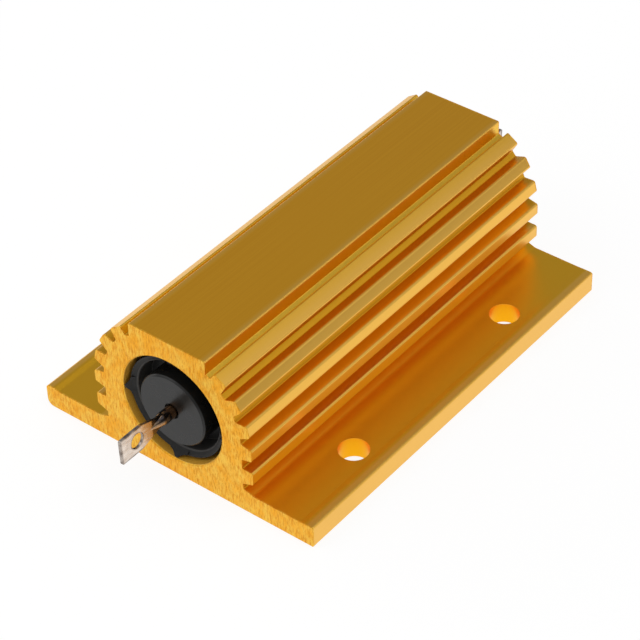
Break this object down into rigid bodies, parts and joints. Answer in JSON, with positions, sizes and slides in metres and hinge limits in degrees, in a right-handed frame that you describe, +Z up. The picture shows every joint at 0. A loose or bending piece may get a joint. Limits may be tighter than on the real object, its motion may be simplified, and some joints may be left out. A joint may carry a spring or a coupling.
{
  "type": "aluminium housed power resistor",
  "caption": "Wirewound power resistor in a finned gold anodised aluminium extrusion with drilled mounting flanges, moulded end caps and solder tags.",
  "frame": {"origin": "centre of the flat mounting face under the housing", "axes": "+X along the extrusion and the terminals, +Y across the mounting flanges, +Z up, out of the mounting face through the flat top"},
  "size_m": [0.0854, 0.047, 0.023],
  "materials": {
    "gold_anodised": "gold anodised, satin",
    "black_moulding": "semi-gloss moulding",
    "tinned_metal": "tinned, glossy",
    "ceramic": "unglazed ceramic",
    "cap_steel": "plain sheet steel",
    "resistance_wire": "drawn wire",
    "cement": "cast filler"
  },
  "bodies": {
    "root": {"housing": "gold_anodised", "filling": "cement", "ceramic_core": "ceramic", "resistance_winding": "resistance_wire", "core_cap_1": "cap_steel", "core_cap_2": "cap_steel", "end_cap_1": "black_moulding", "end_cap_2": "black_moulding", "terminal_1": "tinned_metal", "terminal_2": "tinned_metal"}
  },
  "joints": []
}
